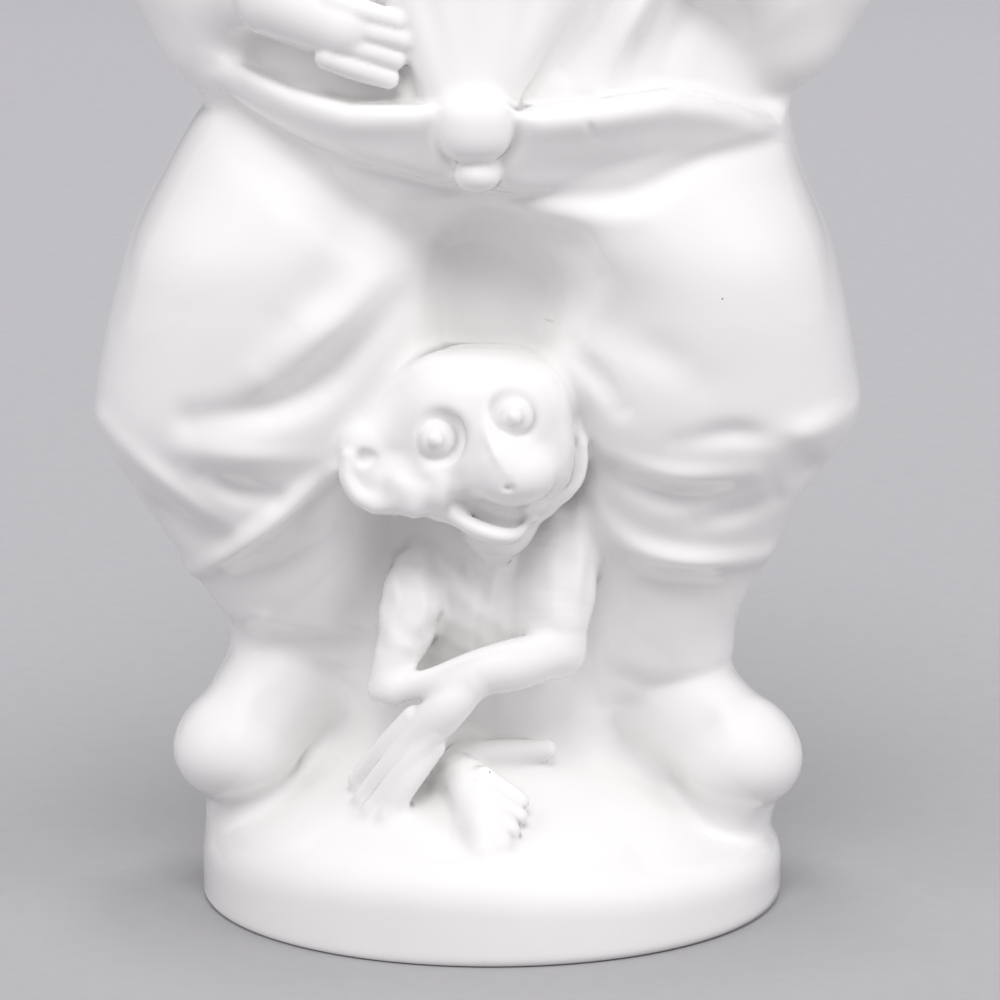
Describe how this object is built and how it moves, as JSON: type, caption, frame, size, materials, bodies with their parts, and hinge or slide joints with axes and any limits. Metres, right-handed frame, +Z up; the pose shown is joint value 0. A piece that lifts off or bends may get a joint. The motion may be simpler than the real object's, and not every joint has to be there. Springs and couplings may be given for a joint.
{
  "type": "porcelain figurine",
  "caption": "White glazed porcelain figurine of a clown in baggy trousers standing astride a seated monkey on a low round plinth.",
  "frame": {"origin": "centre of the plinth's flat underside, on the surface that it stands on", "axes": "+Z up through the figure, -Y towards the front of the figure, +X towards the viewer's right"},
  "size_m": [0.0819, 0.0602, 0.163],
  "materials": {
    "white_glaze": "gloss"
  },
  "bodies": {
    "root": {"base_plinth": "white_glaze", "left_shoe": "white_glaze", "right_shoe": "white_glaze", "left_trouser_leg": "white_glaze", "right_trouser_leg": "white_glaze", "trouser_hips": "white_glaze", "rear_support": "white_glaze", "blouse_body": "white_glaze", "blouse_waist_band": "white_glaze", "blouse_front_panel": "white_glaze", "upper_button": "white_glaze", "lower_button": "white_glaze", "left_sleeve": "white_glaze", "right_sleeve": "white_glaze", "left_hand": "white_glaze", "right_hand": "white_glaze", "neck_ruff": "white_glaze", "head": "white_glaze", "nose": "white_glaze", "left_ear": "white_glaze", "right_ear": "white_glaze", "left_hair_tuft": "white_glaze", "right_hair_tuft": "white_glaze", "hat": "white_glaze", "hat_pompom": "white_glaze", "monkey_body": "white_glaze", "monkey_head": "white_glaze", "monkey_muzzle": "white_glaze", "monkey_left_ear": "white_glaze", "monkey_right_ear": "white_glaze", "monkey_left_arm": "white_glaze", "monkey_right_arm": "white_glaze", "monkey_left_foot": "white_glaze", "monkey_right_foot": "white_glaze"}
  },
  "joints": []
}
